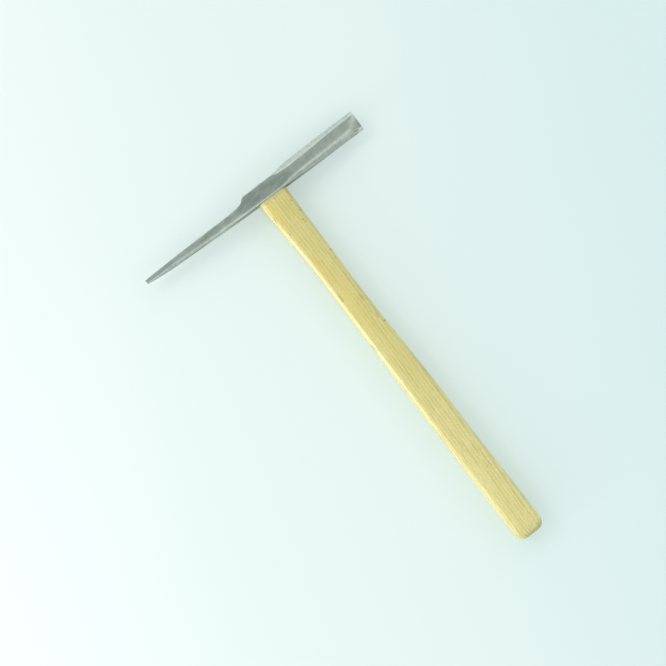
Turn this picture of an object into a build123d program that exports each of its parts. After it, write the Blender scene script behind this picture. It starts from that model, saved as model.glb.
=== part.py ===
from build123d import *
import os
from collections import namedtuple
from math import cos, radians, sin

# Chipping hammer: a forged steel head with a pick and a chisel, wedged onto an ash handle.
#
# The hammer lies on its side. X runs along the head towards the chisel edge, Y runs up through the
# eye, so that the handle points along -Y, and Z is up. The origin is under the middle of the eye, on
# the plane that the cheek of the head and the butt of the handle rest on. Lengths in millimetres.

# Eye block: the thick middle of the head, which the handle passes through
block_depth = 19.0              # across the cheeks, along Z
block_height = 11.0             # along the handle
block_to_pick = 17.6            # from the handle's centreline to the corner on the pick's side
block_to_chisel = 11.3          # from the handle's centreline to where the chisel arm begins
block_low_bevel = 1.1           # bevels beside the handle
block_top_bevel = 0.5           # bevels at the top of the head
corner_facet_length = 1.0       # worn facet beside the corner that the pick's shoulder starts from
corner_facet_drop = 0.3         # how far it falls towards the pick
edge_round = 0.35               # rounding left on every long edge of the head
test_mark_place = 4.5           # hardness test mark in the cheek, from the handle's centreline
test_mark_drop = 1.4            # the same mark, below the middle of the block
test_mark_ball = 2.5            # radius of the ball that left it
test_mark_depth = 0.12

# Chisel arm, whose cutting edge is in line with the handle
chisel_reach = 76.7             # from the handle's centreline to the cutting edge
chisel_shoulder = 9.0           # length over which the block flows into the arm
chisel_root_height = 13.8       # along Y, beside the block
chisel_end_height = 15.2        # along Y, at the cutting edge
chisel_lift = 0.5               # the arm's middle lies above the middle of the eye
chisel_root_depth = 19.0        # along Z, beside the block
chisel_end_depth = 4.2          # along Z, at the cutting edge
chisel_low_bevel = 3.4          # width of the two lower bevels, across the arm
chisel_top_bevel = 3.8          # width of the two upper bevels
chisel_worn_bevel = 6.4         # width of the two lower bevels at the cutting edge
chisel_middle = 46.0            # where the lower bevels begin to widen
chisel_bevel_share = 0.4        # part of the arm's half depth that a bevel takes
grind_edge = 0.8                # thickness left at the lower end of the cutting edge
grind_angle = 15.0              # sharpened faces to the arm's middle plane, in degrees
grind_skew = 29.0               # the sharpened faces turn towards the handle, in degrees

# Pick arm: its top is almost straight, and its underside rises to the point
pick_reach = 103.5              # from the handle's centreline to the tip
pick_shoulder = 17.0            # length of the hollow curve from the block down to the arm
pick_hollow = 4.5               # how steeply that curve falls at first: 1 is a straight slope
pick_root_top = 1.35            # top of the arm beside the block, above the middle of the eye
pick_root_drop = 5.8            # underside of the arm beside the block, below the middle of the eye
pick_root_depth = 19.0          # along Z, beside the block
pick_low_bevel = 1.9            # bevels along the underside
pick_top_bevel = 0.9            # bevels along the top
point_length = 17.0             # ground point at the end of the arm
point_root_top = 1.2
point_root_drop = 3.85
point_root_depth = 6.2
tip_top = 0.85
tip_drop = 2.2
tip_depth = 3.3
tip_bevel = 0.75
tip_break = 0.4                 # broken edges round the end of the point
pick_bevel_share = 0.2         # part of the arm's half depth that a lower bevel takes

# Eye, tenon and wedges
eye_length = 19.0               # along X, at the handle's side
eye_width = 12.4                # along Z, at the handle's side
eye_flare = 1.0                 # how much longer and wider the eye is at the top of the head
eye_fit = 0.04                  # gap round the tenon
kerf_depth = 8.0                # sawn slot in the tenon, along X
kerf_mouth = 2.4                # its width at the top, spread by the wooden wedge
kerf_root = 0.8                 # its width at the bottom
wedge_fit = 0.03                # gap round the wedges
steel_wedge_offset = 2.7        # from the handle's centreline towards the pick
steel_wedge_width = 9.6         # across the wooden wedge, along Z
steel_wedge_head = 3.0          # thickness of the struck end
steel_wedge_tip = 0.8           # thickness of the driven end
steel_wedge_depth = 6.6         # driven in, below the top of the head
steel_wedge_proud = 0.7         # left standing above the top of the head

# Handle: places are measured down from the underside of the head, and half widths from its
# centreline towards the pick and towards the chisel
handle_length = 288.0
shoulder_to_pick_corner = 6.1   # the shoulder stops short of the block's corner
shoulder_to_chisel = 0.5        # the shoulder stops short of the chisel arm
shoulder_to_cheek = 0.7         # the shoulder stops short of each cheek
waist_at = 80.0
waist_pick_half = 8.8
waist_chisel_half = 9.6
waist_thickness = 16.6
swell_at = 162.0                # the grip is fullest under the palm from here
swell_to = 205.0                # to here
swell_pick_half = 9.25
swell_chisel_half = 11.45
swell_thickness = 18.0
butt_from = 262.0               # the butt keeps one section from here to its end
butt_pick_half = 9.3
butt_chisel_half = 12.4
handle_corner = 7.0             # rounding along the handle
butt_round = 5.0                # rounding of the butt's edge
shoulder_round = 1.0            # rounding of the shoulder's edge under the head

shoulder_steps = 8              # sections that shape each shoulder of the head
grip_steps = 24                 # equal lengths of the handle, with a section at each end

mid_z = block_depth / 2
block_top = block_height / 2
block_underside = -block_height / 2

# A cross-section of the head, across X. The bevels are widths along Y, and the drops are how far
# they run in from the sides.
Section = namedtuple("Section", "bottom top depth low_bevel top_bevel low_drop top_drop")
# A cross-section of the handle
Grip = namedtuple("Grip", "pick_half chisel_half thickness")


def blend(start, end, share):
    """Value, or section, a share of the way from start to end."""
    if isinstance(start, tuple):
        return type(start)(*(blend(a, b, share) for a, b in zip(start, end)))
    return start + (end - start) * share


def smooth_step(share):
    return share * share * (3 - 2 * share)


def ease_out(share, power):
    """Steep start and flat end, steeper with a higher power."""
    return 1 - (1 - share) ** power


def outline(section, x):
    """Face of a section at x: a rectangle with four bevelled corners, every edge slightly rounded."""
    half = section.depth / 2
    half_points = [
        (section.bottom, half - section.low_drop),
        (section.bottom + section.low_bevel, half),
        (section.top - section.top_bevel, half),
        (section.top, half - section.top_drop),
    ]
    mirrored = [(y, -z) for y, z in reversed(half_points)]
    points = [(y, mid_z + z) for y, z in half_points + mirrored]
    face = Plane.YZ.offset(x) * Polygon(*points, align=None)
    return fillet(face.vertices(), edge_round)


def cutting_block(corner, normal, size):
    """Block that takes away everything on the normal's side of a corner, as far as its size."""
    return Plane(origin=corner, z_dir=normal) * Box(
        size, size, size, align=(Align.CENTER, Align.CENTER, Align.MIN)
    )


def block_section():
    low, top = block_low_bevel, block_top_bevel
    return Section(block_underside, block_top, block_depth, low, top, low, top)


def chisel_section(height, depth):
    drop = depth / 2 * chisel_bevel_share
    bottom = chisel_lift - height / 2
    top = bottom + height
    return Section(bottom, top, depth, chisel_low_bevel, chisel_top_bevel, drop, drop)


def pick_section(top, drop, depth, low_bevel, top_bevel):
    low_drop = depth / 2 * pick_bevel_share
    top_drop = low_drop * top_bevel / low_bevel
    return Section(-drop, top, depth, low_bevel, top_bevel, low_drop, top_drop)


def worn_corner():
    """Section at the corner where the pick's shoulder starts."""
    return block_section()._replace(top=block_top - corner_facet_drop)


def eye_block():
    facet_start = outline(block_section(), corner_facet_length - block_to_pick)
    block_length = block_to_pick - corner_facet_length + block_to_chisel
    facet = loft([facet_start, outline(worn_corner(), -block_to_pick)])
    return extrude(facet_start, block_length, dir=(1, 0, 0)) + facet


def chisel_arm():
    """Smooth shoulder, then a taper whose lower bevels widen towards the cutting edge."""
    root = chisel_section(chisel_root_height, chisel_root_depth)
    end = chisel_section(chisel_end_height, chisel_end_depth)
    worn_end = end._replace(low_bevel=chisel_worn_bevel)
    length = chisel_reach - block_to_chisel
    shoulder = []
    for step in range(shoulder_steps + 1):
        along = chisel_shoulder * step / shoulder_steps
        arm = blend(root, end, along / length)
        section = blend(block_section(), arm, smooth_step(step / shoulder_steps))
        shoulder.append(outline(section, block_to_chisel + along))
    middle = blend(root, end, (chisel_middle - block_to_chisel) / length)
    return loft(shoulder) + loft(
        [shoulder[-1], outline(middle, chisel_middle), outline(worn_end, chisel_reach)]
    )


def grinding_cuts():
    """Two blocks that sharpen the chisel, one above and one below its middle plane."""
    cuts = []
    for side in (1, -1):
        normal = (
            sin(radians(grind_angle)) * cos(radians(grind_skew)),
            -sin(radians(grind_angle)) * sin(radians(grind_skew)),
            cos(radians(grind_angle)) * side,
        )
        low_end = chisel_lift - chisel_end_height / 2
        corner = (chisel_reach, low_end, mid_z + grind_edge / 2 * side)
        cuts.append(cutting_block(corner, normal, chisel_reach))
    return cuts


def pick_arm():
    """Hollow shoulder below the block's corner, a long taper, and a ground point."""
    root = pick_section(pick_root_top, pick_root_drop, pick_root_depth, pick_low_bevel, pick_top_bevel)
    point_root = pick_section(
        point_root_top, point_root_drop, point_root_depth, pick_low_bevel, pick_top_bevel
    )
    tip = pick_section(tip_top, tip_drop, tip_depth, tip_bevel, tip_bevel)
    length = pick_reach - point_length - block_to_pick
    shoulder = []
    for step in range(shoulder_steps + 1):
        share = step / shoulder_steps
        arm = blend(root, point_root, pick_shoulder * share / length)
        section = blend(worn_corner(), arm, smooth_step(share))
        hollow_top = blend(worn_corner().top, arm.top, ease_out(share, pick_hollow))
        section = section._replace(top=hollow_top)
        shoulder.append(outline(section, -block_to_pick - pick_shoulder * share))
    tip_end = tip._replace(
        bottom=tip.bottom + tip_break, top=tip.top - tip_break, depth=tip.depth - 2 * tip_break
    )
    taper = loft(
        [
            shoulder[-1],
            outline(point_root, point_length - pick_reach),
            outline(tip, tip_break - pick_reach),
            outline(tip_end, -pick_reach),
        ],
        ruled=True,
    )
    return loft(shoulder) + taper


def eye_shape(gap=0):
    """Oval space through the eye block, flared towards the top of the head, less a gap all round."""
    low = Plane((0, block_underside, mid_z), x_dir=(1, 0, 0), z_dir=(0, 1, 0))
    high = low.offset(block_height)
    return loft([
        low * SlotOverall(eye_length - 2 * gap, eye_width - 2 * gap),
        high * SlotOverall(eye_length + eye_flare - 2 * gap, eye_width + eye_flare - 2 * gap),
    ])


def wedge_shape(plane, mouth, root, depth, proud, length):
    """Taper that is driven down from the top of the head, with its thickness along the plane's X."""
    slope = (mouth - root) / 2 / depth
    top_half = mouth / 2 + slope * proud
    points = [(-root / 2, -depth), (root / 2, -depth), (top_half, proud), (-top_half, proud)]
    return extrude(plane * Polygon(*points, align=None), length / 2, both=True)


def wooden_wedge_shape(gap=0):
    """Wedge along the eye, whose thickness is along Z."""
    plane = Plane((0, block_top, mid_z), x_dir=(0, 0, 1), z_dir=(-1, 0, 0))
    return wedge_shape(
        plane, kerf_mouth - 2 * gap, kerf_root - 2 * gap, kerf_depth - gap, 0, eye_length + 2 * eye_flare
    )


def steel_wedge_shape(gap=0):
    """Wedge across the wooden one, whose thickness is along X."""
    plane = Plane((-steel_wedge_offset, block_top, mid_z), x_dir=(1, 0, 0), z_dir=(0, 0, 1))
    return wedge_shape(
        plane,
        steel_wedge_head + 2 * gap,
        steel_wedge_tip + 2 * gap,
        steel_wedge_depth + gap,
        steel_wedge_proud,
        steel_wedge_width + 2 * gap,
    )


def test_mark_cut():
    centre_z = block_depth - test_mark_depth + test_mark_ball
    return Pos(test_mark_place, -test_mark_drop, centre_z) * Sphere(test_mark_ball)


def hammer_head():
    head = eye_block() + chisel_arm() + pick_arm()
    return head - grinding_cuts() - eye_shape() - test_mark_cut()


def grip_sections():
    """Places down the handle with the section that it has there."""
    shoulder = Grip(
        block_to_pick - shoulder_to_pick_corner,
        block_to_chisel - shoulder_to_chisel,
        block_depth - 2 * shoulder_to_cheek,
    )
    waist = Grip(waist_pick_half, waist_chisel_half, waist_thickness)
    swell = Grip(swell_pick_half, swell_chisel_half, swell_thickness)
    butt = Grip(butt_pick_half, butt_chisel_half, block_depth)
    return [
        (0, shoulder), (waist_at, waist), (swell_at, swell),
        (swell_to, swell), (butt_from, butt), (handle_length, butt),
    ]


def grip_at(down):
    """Section some way down the handle: a hollow neck, then smooth steps from each place to the next."""
    sections = grip_sections()
    for (start, section), (end, next_section) in zip(sections, sections[1:]):
        if down <= end:
            share = (down - start) / (end - start)
            shape = ease_out(share, 2) if start == 0 else smooth_step(share)
            return blend(section, next_section, shape)
    return sections[-1][1]


def grip_outline(down):
    """Rounded face of the handle, some way down from the underside of the head."""
    grip = grip_at(down)
    centre = ((grip.chisel_half - grip.pick_half) / 2, block_underside - down, mid_z)
    plane = Plane(centre, x_dir=(1, 0, 0), z_dir=(0, 1, 0))
    return plane * RectangleRounded(grip.chisel_half + grip.pick_half, grip.thickness, handle_corner)


def handle():
    """Shaped grip with a shoulder under the head and a slotted tenon in the eye."""
    grip = loft([grip_outline(handle_length * step / grip_steps) for step in range(grip_steps + 1)])
    grip = fillet(grip.faces().sort_by(Axis.Y)[0].edges(), butt_round)
    grip = fillet(grip.faces().sort_by(Axis.Y)[-1].edges(), shoulder_round)
    tenon = eye_shape(eye_fit) - wooden_wedge_shape() - steel_wedge_shape(wedge_fit)
    return grip + tenon


def wooden_wedge():
    """Hardwood wedge in the tenon's slot, sawn flush and split by the steel wedge."""
    return (wooden_wedge_shape(wedge_fit) & eye_shape(eye_fit)) - steel_wedge_shape(wedge_fit)


def main():
    os.makedirs("parts", exist_ok=True)
    pieces = {
        "hammer_head": hammer_head(),
        "handle": handle(),
        "wooden_wedge": wooden_wedge(),
        "steel_wedge": steel_wedge_shape(),
    }
    for name, piece in pieces.items():
        export_step(piece, f"parts/{name}.step")


main()
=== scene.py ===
import math

import bmesh
import bpy
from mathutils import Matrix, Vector


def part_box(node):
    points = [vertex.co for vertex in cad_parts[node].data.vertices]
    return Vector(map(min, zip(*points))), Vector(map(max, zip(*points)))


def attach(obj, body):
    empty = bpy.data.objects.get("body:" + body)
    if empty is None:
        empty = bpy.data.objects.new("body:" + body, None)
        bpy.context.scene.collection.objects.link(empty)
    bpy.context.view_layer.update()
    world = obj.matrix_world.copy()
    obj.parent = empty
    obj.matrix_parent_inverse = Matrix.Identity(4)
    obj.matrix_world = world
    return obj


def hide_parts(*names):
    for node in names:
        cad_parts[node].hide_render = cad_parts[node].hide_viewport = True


bl_info = {
    "name": "Chipping Hammer",
    "version": (1, 0, 0),
    "blender": (4, 5, 0),
    "location": "3D View > Sidebar > Hammer",
    "description": "Forged chipping hammer with a pick and a chisel on a varnished ash handle",
    "category": "Object",
}

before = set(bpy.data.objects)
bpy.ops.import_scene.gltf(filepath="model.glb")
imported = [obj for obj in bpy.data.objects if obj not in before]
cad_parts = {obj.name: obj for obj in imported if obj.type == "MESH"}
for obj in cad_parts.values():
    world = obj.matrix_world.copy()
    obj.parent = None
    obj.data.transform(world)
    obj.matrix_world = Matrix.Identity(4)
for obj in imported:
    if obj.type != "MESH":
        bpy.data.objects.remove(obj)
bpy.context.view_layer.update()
STEEL_WEDGE_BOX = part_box("steel_wedge")

# Numbers are in millimetres, down to those of the stage, and MM turns them into metres
MM = 0.001
MID_Z = 9.5                     # middle plane of the head and the handle
CHEEK_Z = 19.0                  # upper cheek of the head
UNDERSIDE = -5.5                # where the handle meets the head
BLOCK_TOP = 5.5

# Sections of the head from the tip of the pick to the chisel edge: place along it, underside,
# top and thickness, then width and drop of the steep lower bevel, of the worn strip above it and of
# the upper bevel, where that isn't the pick's usual one
PICK_BEVEL = (0.24, 0.24)
PICK_SECTIONS = [
    (-103.5, -1.75, 0.58, 2.50, 0.30, 0.40, 0.35, 0.16, 0.26, 0.24),
    (-103.1, -2.10, 1.08, 3.30, 0.35, 0.52, 0.45, 0.20),
    (-99.0, -2.50, 1.18, 4.02, 0.45, 0.46, 0.60, 0.25),
    (-94.8, -2.92, 1.28, 4.76, 0.60, 0.60, 0.75, 0.31),
    (-90.5, -3.36, 1.38, 5.50, 0.80, 0.70, 0.90, 0.37),
    (-86.5, -3.76, 1.44, 6.22, 1.45, 1.15, 0.52, 0.22),
    (-82.0, -3.98, 1.46, 7.05, 1.84, 1.45, 0.44, 0.19),
    (-75.0, -4.16, 1.54, 8.34, 1.60, 1.22, 0.48, 0.21),
    (-68.0, -4.36, 1.58, 9.64, 1.52, 1.10, 0.45, 0.19),
    (-60.0, -4.58, 1.56, 11.12, 1.22, 0.86, 0.48, 0.21),
    (-52.0, -4.78, 1.52, 12.50, 1.12, 0.75, 0.46, 0.20),
    (-45.0, -4.98, 1.48, 13.66, 0.95, 0.58, 0.58, 0.25),
    (-39.0, -5.15, 1.44, 14.96, 0.74, 0.44, 1.02, 0.44),
    (-34.6, -5.28, 1.40, 15.94, 0.52, 0.50, 1.04, 0.45),
    (-32.6, -5.34, 1.43, 16.22, 0.38, 0.54, 1.15, 0.49),
    (-30.7, -5.40, 1.47, 16.66, 0.31, 0.60, 1.22, 0.52),
    (-28.9, -5.46, 1.53, 17.22, 0.27, 0.60, 1.28, 0.55),
    (-27.2, -5.51, 1.62, 17.72, 0.25, 0.60, 1.35, 0.58),
    (-25.6, -5.55, 1.76, 18.14, 0.25, 0.60, 1.35, 0.58),
    (-24.1, -5.59, 1.94, 18.47, 0.24, 0.58, 1.35, 0.58),
    (-22.7, -5.62, 2.16, 18.70, 0.23, 0.56, 1.35, 0.58),
    (-21.4, -5.64, 2.46, 18.86, 0.22, 0.54, 1.35, 0.58),
    (-20.2, -5.66, 2.96, 18.94, 0.21, 0.52, 1.35, 0.58),
    (-19.1, -5.68, 3.86, 18.98, 0.20, 0.50, 1.25, 0.54),
    (-18.2, -5.69, 4.68, 19.00, 0.20, 0.50, 1.20, 0.52),
    (-17.4, -5.70, 5.22, 19.00, 0.20, 0.50, 1.15, 0.49, 0.26, 0.26),
    (-16.4, -5.71, 5.50, 19.00, 0.20, 0.50, 1.10, 0.47, 0.30, 0.30),
]
BLOCK_SECTIONS = [
    (-13.0, -5.74, 5.50, 19.00, 0.18, 0.45, 0.95, 0.48, 0.30, 0.30),
    (-8.0, -5.80, 5.50, 19.00, 0.16, 0.42, 0.90, 0.46, 0.30, 0.30),
    (-3.0, -5.85, 5.50, 19.00, 0.14, 0.40, 0.85, 0.44, 0.30, 0.30),
    (2.0, -5.88, 5.50, 19.00, 0.14, 0.40, 0.80, 0.42, 0.30, 0.30),
    (6.0, -5.89, 5.50, 19.00, 0.14, 0.40, 0.80, 0.42, 0.32, 0.32),
]
CHISEL_SECTIONS = [
    (7.6, -5.90, 5.48, 19.00, 0.15, 0.40, 0.80, 0.42, 0.50, 0.48),
    (8.8, -5.90, 5.47, 19.00, 0.17, 0.42, 0.82, 0.42, 0.80, 0.70),
    (10.0, -5.90, 5.52, 19.00, 0.22, 0.46, 0.86, 0.44, 1.20, 1.00),
    (11.2, -5.90, 5.66, 18.99, 0.34, 0.56, 0.92, 0.46, 1.60, 1.32),
    (12.4, -5.91, 5.90, 18.95, 0.52, 0.70, 1.00, 0.40, 1.98, 1.62),
    (13.6, -5.92, 6.18, 18.88, 0.72, 0.86, 1.06, 0.38, 2.28, 1.84),
    (14.8, -5.93, 6.44, 18.86, 0.94, 1.02, 1.12, 0.36, 2.55, 2.04),
    (16.0, -5.94, 6.66, 18.78, 1.16, 1.18, 1.10, 0.34, 2.82, 2.24),
    (17.2, -5.96, 6.84, 18.64, 1.36, 1.32, 1.10, 0.33, 3.08, 2.42),
    (18.6, -5.99, 6.99, 18.44, 1.56, 1.46, 1.12, 0.34, 3.32, 2.58),
    (20.2, -6.04, 7.12, 18.12, 1.72, 1.58, 1.16, 0.36, 3.46, 2.68),
    (22.5, -6.12, 7.24, 17.52, 1.88, 1.70, 1.24, 0.42, 3.55, 2.74),
    (26.0, -6.26, 7.38, 16.58, 2.04, 1.84, 1.38, 0.54, 3.58, 2.76),
    (31.0, -6.44, 7.50, 15.20, 2.20, 1.98, 1.52, 0.66, 3.50, 2.70),
    (37.0, -6.56, 7.60, 13.58, 2.46, 2.20, 1.56, 0.68, 3.40, 2.62),
    (43.0, -6.64, 7.69, 12.04, 2.68, 2.36, 1.60, 0.68, 3.28, 2.50),
    (49.0, -6.75, 7.78, 10.58, 2.86, 2.40, 1.62, 0.68, 3.12, 2.36),
    (55.0, -6.85, 7.86, 9.10, 3.20, 2.60, 1.62, 0.70, 2.94, 2.20),
    (61.0, -6.93, 7.92, 7.74, 3.66, 2.62, 1.60, 0.70, 2.80, 2.26),
    (67.0, -7.00, 7.99, 6.38, 4.40, 2.04, 1.56, 0.66, 2.70, 2.22),
    (69.5, -7.03, 8.02, 5.82, 4.20, 1.81, 1.54, 0.62, 2.69, 2.14),
    (72.0, -7.05, 8.05, 5.26, 3.60, 1.57, 1.50, 0.58, 2.68, 2.05),
    (74.2, -7.08, 8.08, 4.74, 3.00, 1.36, 1.47, 0.54, 2.68, 1.92),
    (76.3, -7.10, 8.10, 4.28, 2.70, 1.17, 1.44, 0.50, 2.68, 1.80),
    (76.6, -7.05, 8.05, 4.10, 2.66, 1.10, 1.44, 0.48, 2.66, 1.70),
    (76.7, -6.92, 7.92, 3.80, 2.60, 1.01, 1.42, 0.42, 2.60, 1.52),
]
# Along the head: rounding of the corners at the worn strip, width of the strip above it over which
# the face rolls down, and rounding of the corner at the upper bevel
RIDGE_ROUNDING = [(-103.5, 0.12), (-95.0, 0.28), (-80.0, 0.48), (-30.0, 0.60), (-16.0, 0.60),
                  (10.0, 0.55), (22.0, 0.62), (50.0, 0.75), (76.7, 1.00)]
FACE_ROLL = [(-103.5, 0.40), (-90.0, 0.80), (-60.0, 1.40), (-42.0, 2.50), (-28.0, 2.80),
             (-8.0, 2.40), (8.0, 1.60), (22.0, 1.40), (45.0, 1.60), (60.0, 2.00), (76.7, 1.80)]
BEVEL_ROUNDING = [(-103.5, 0.10), (7.0, 0.12), (12.0, 0.60), (18.0, 0.85), (30.0, 0.70),
                  (44.0, 0.42), (62.0, 0.20), (76.7, 0.16)]
CORNER_ROUNDING = 0.11          # of the outer corners
ROLL_SLOPE = 0.17               # fall of the rolled strip over its width
FORGING_RIPPLE = 11.0           # size of the waves in the forged faces

# The wheel that hollowed both sharpened faces: its radius, the line where a face starts, as two
# places with their height over the middle, and how far apart both cuts would be under the edge's
# lower corner, where they run clear of the steel
GRIND_WHEEL = 21.0
GRIND_LINE = ((68.9, -1.2, 2.76), (75.0, 5.0, 2.26))
GRIND_EDGE = 3.0

TEST_MARK_PLACE = (4.5, -1.4)
TEST_MARK_BALL = 5.0            # radius of the ball that left the hardness mark in the cheek
TEST_MARK_DEPTH = 0.04
# Nicks in the chisel's end: place, half length and half width, depth
NICKS = [((72.3, -4.9), (1.8, 0.42), 0.14), ((70.7, -6.6), (0.9, 0.36), 0.14)]

# Sections of the handle: distance below the head, half widths towards the pick and the chisel,
# thickness
HANDLE_SECTIONS = [
    (0.0, 11.50, 10.80, 17.60),
    (0.7, 11.48, 10.80, 17.59),
    (6.0, 11.24, 10.72, 17.44),
    (15.0, 10.85, 10.60, 17.20),
    (28.5, 10.08, 10.38, 16.95),
    (40.0, 9.50, 10.28, 16.80),
    (51.0, 9.10, 10.18, 16.70),
    (65.0, 8.86, 9.98, 16.62),
    (79.0, 8.76, 9.92, 16.60),
    (103.0, 8.70, 10.12, 16.80),
    (120.0, 8.80, 10.45, 17.20),
    (132.0, 8.92, 10.82, 17.50),
    (144.0, 9.04, 11.22, 17.78),
    (161.0, 9.10, 11.66, 18.00),
    (184.0, 9.18, 11.74, 18.00),
    (205.0, 9.18, 11.66, 18.05),
    (222.0, 9.12, 11.86, 18.30),
    (242.0, 9.06, 12.30, 18.75),
    (262.0, 9.10, 12.62, 18.97),
    (276.0, 9.12, 12.68, 18.97),
    (281.0, 9.12, 12.68, 18.97),
]
HANDLE_LENGTH = 288.0
HANDLE_CORNER = 4.2             # width of the planed corners across the handle
CORNER_SLOPE = 1.25             # that width over their depth
CORNER_PROFILE = 0.36           # a little fuller than flat
HANDLE_RIPPLE = 26.0            # size of the waves in the shaped wood
BUTT_ROUND = (6.0, 4.6)         # reach of the butt's rounding across the handle and into it
BUTT_STEPS = 10
SHOULDER_ROUND = 0.25
SHOULDER_DROP = 0.38            # how far the hand-fitted shoulder stands below the eye block

# Eye, as length and width under the head and on top of it, and the wedges driven into the tenon
EYE_LOW = (19.0, 12.4)
EYE_TOP = (20.0, 13.4)
EYE_CUT_REACH = 2.0             # how far the eye's cutter runs past both ends of the eye
TENON_GAP = 0.04
TENON_SUNK = 1.0                # how far the tenon runs into the shoulder, to join it
KERF_LENGTH = 21.0
KERF_MOUTH = 2.4
KERF_ROOT = 0.8
KERF_DEPTH = 8.0
WEDGE_GAP = 0.03
STEEL_WEDGE_TIP = 0.8
WOOD_EDGE = 0.06                # rounding of the wedges' edges
STEEL_EDGE = 0.22

# Where the materials change along the head and the handle: an effect grows from the first place of
# a pair to the second
# Painted shade on the head's sides: faint at the pick's root, full over the block and towards the
# pick's point
SIDE_SHADE_TO_BLOCK = (-40.0, -30.0)
SIDE_SHADE_TO_PICK = (-48.0, -58.0)
SHARPENED_FROM = (64.5, 68.5)
SHARPENED_UNTIL = (74.0, 70.6)
SHARPENED_BELOW = (-1.8, -3.0)
PALER_BUTT = (-150.0, -230.0)
# Painted light: the handle lighter towards the pick's side, which faces the window
LIT_SIDE = (4.0, -8.0)
WARM_NEAR_HEAD = (-165.0, -60.0)
WARM_INSIDE = (6.0, -3.0)
END_GRAIN = (-291.0, -293.5)
END_GRAIN_SLANT = (-4.0, 9.0)
END_GRAIN_SHIFT = 2.2           # how much further up the end grain shows on the chisel's side
SCUFFED_BUTT = (-284.0, -290.5)
SCUFFED_SIDE = (-6.0, 7.0)
# Painted shade on the handle right under the head, fading away down the handle
SHADE_UNDER_HEAD = (-9.0, -5.2)
SHADE_UNDER_HEAD_RAGGED = 0.8              # how far the fibres carry it
RING_SPACING = 2.0              # growth rings of the ash
RING_AWAY = (80.0, 30.0)        # the tree's heart, beyond the pick's side and under the handle
RING_WANDER = 2.2               # how far the rings stray, in long waves and in short ones
RING_JITTER = 1.6

# The stage, in metres and degrees
FLOOR_RADIUS = 14.0
FLOOR_DROP = 0.00002
FLOOR_FAR = (0.45, 1.0)         # distance over which the floor turns plain
HANDLE_MIDDLE = (0.0, -0.1, 0.0)
WINDOW_AWAY = 0.90
WINDOW_SILL = 0.01
WINDOW_HEIGHT = 0.36
WINDOW_SPAN = (-0.19, -0.02)
WINDOW_REST_SPAN = (-0.75, -0.19)
# The room's parts blend over heights of a direction, from 0 for level to 1 for straight up
RING_TO_WALLS = (0.50, 0.22)
RING_TO_INSIDE = (0.70, 0.85)
INSIDE_TO_OVERHEAD = (0.905, 0.995)
INSIDE_LEVEL = 0.48             # as a share of the ring's
TINTED_FROM = (0.80, 0.94)
TINT = (0.90, 1.0, 0.96)
LAMP_EDGE = (0.965, 0.992)      # cosines of the angle from the lamp's middle
HEADWARDS = (-0.35, 0.94, 0.0)
CAMERA_PLACE = (-0.0236, -0.1042, 1.1595)
CAMERA_TURN = -37.3
CAMERA_LENS = 91.8              # in millimetres, as is the sensor
CAMERA_SENSOR = 36.0


# ---- settings

def colour_setting(name, description, default):
    return bpy.props.FloatVectorProperty(name=name, description=description, default=default,
                                         min=0.0, max=1.0, subtype="COLOR")


def level_setting(name, description, default, most=1.0):
    return bpy.props.FloatProperty(name=name, description=description, default=default, min=0.0,
                                   max=most, subtype="FACTOR")


def length_setting(name, description, default):
    return bpy.props.FloatProperty(name=name, description=description, default=default, min=0.0,
                                   unit="LENGTH")


class HammerSizes(bpy.types.PropertyGroup):
    ripple: length_setting(
        "Forging ripple", "How far the forged faces wander from flat", 0.06 * MM)
    wood_ripple: length_setting(
        "Handle ripple", "How far the hand-shaped handle wanders from its sections", 0.12 * MM)
    wedge_stand: length_setting(
        "Steel wedge stand", "Height of the steel wedge above the top of the head",
        STEEL_WEDGE_BOX[1].y - BLOCK_TOP * MM)


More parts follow.
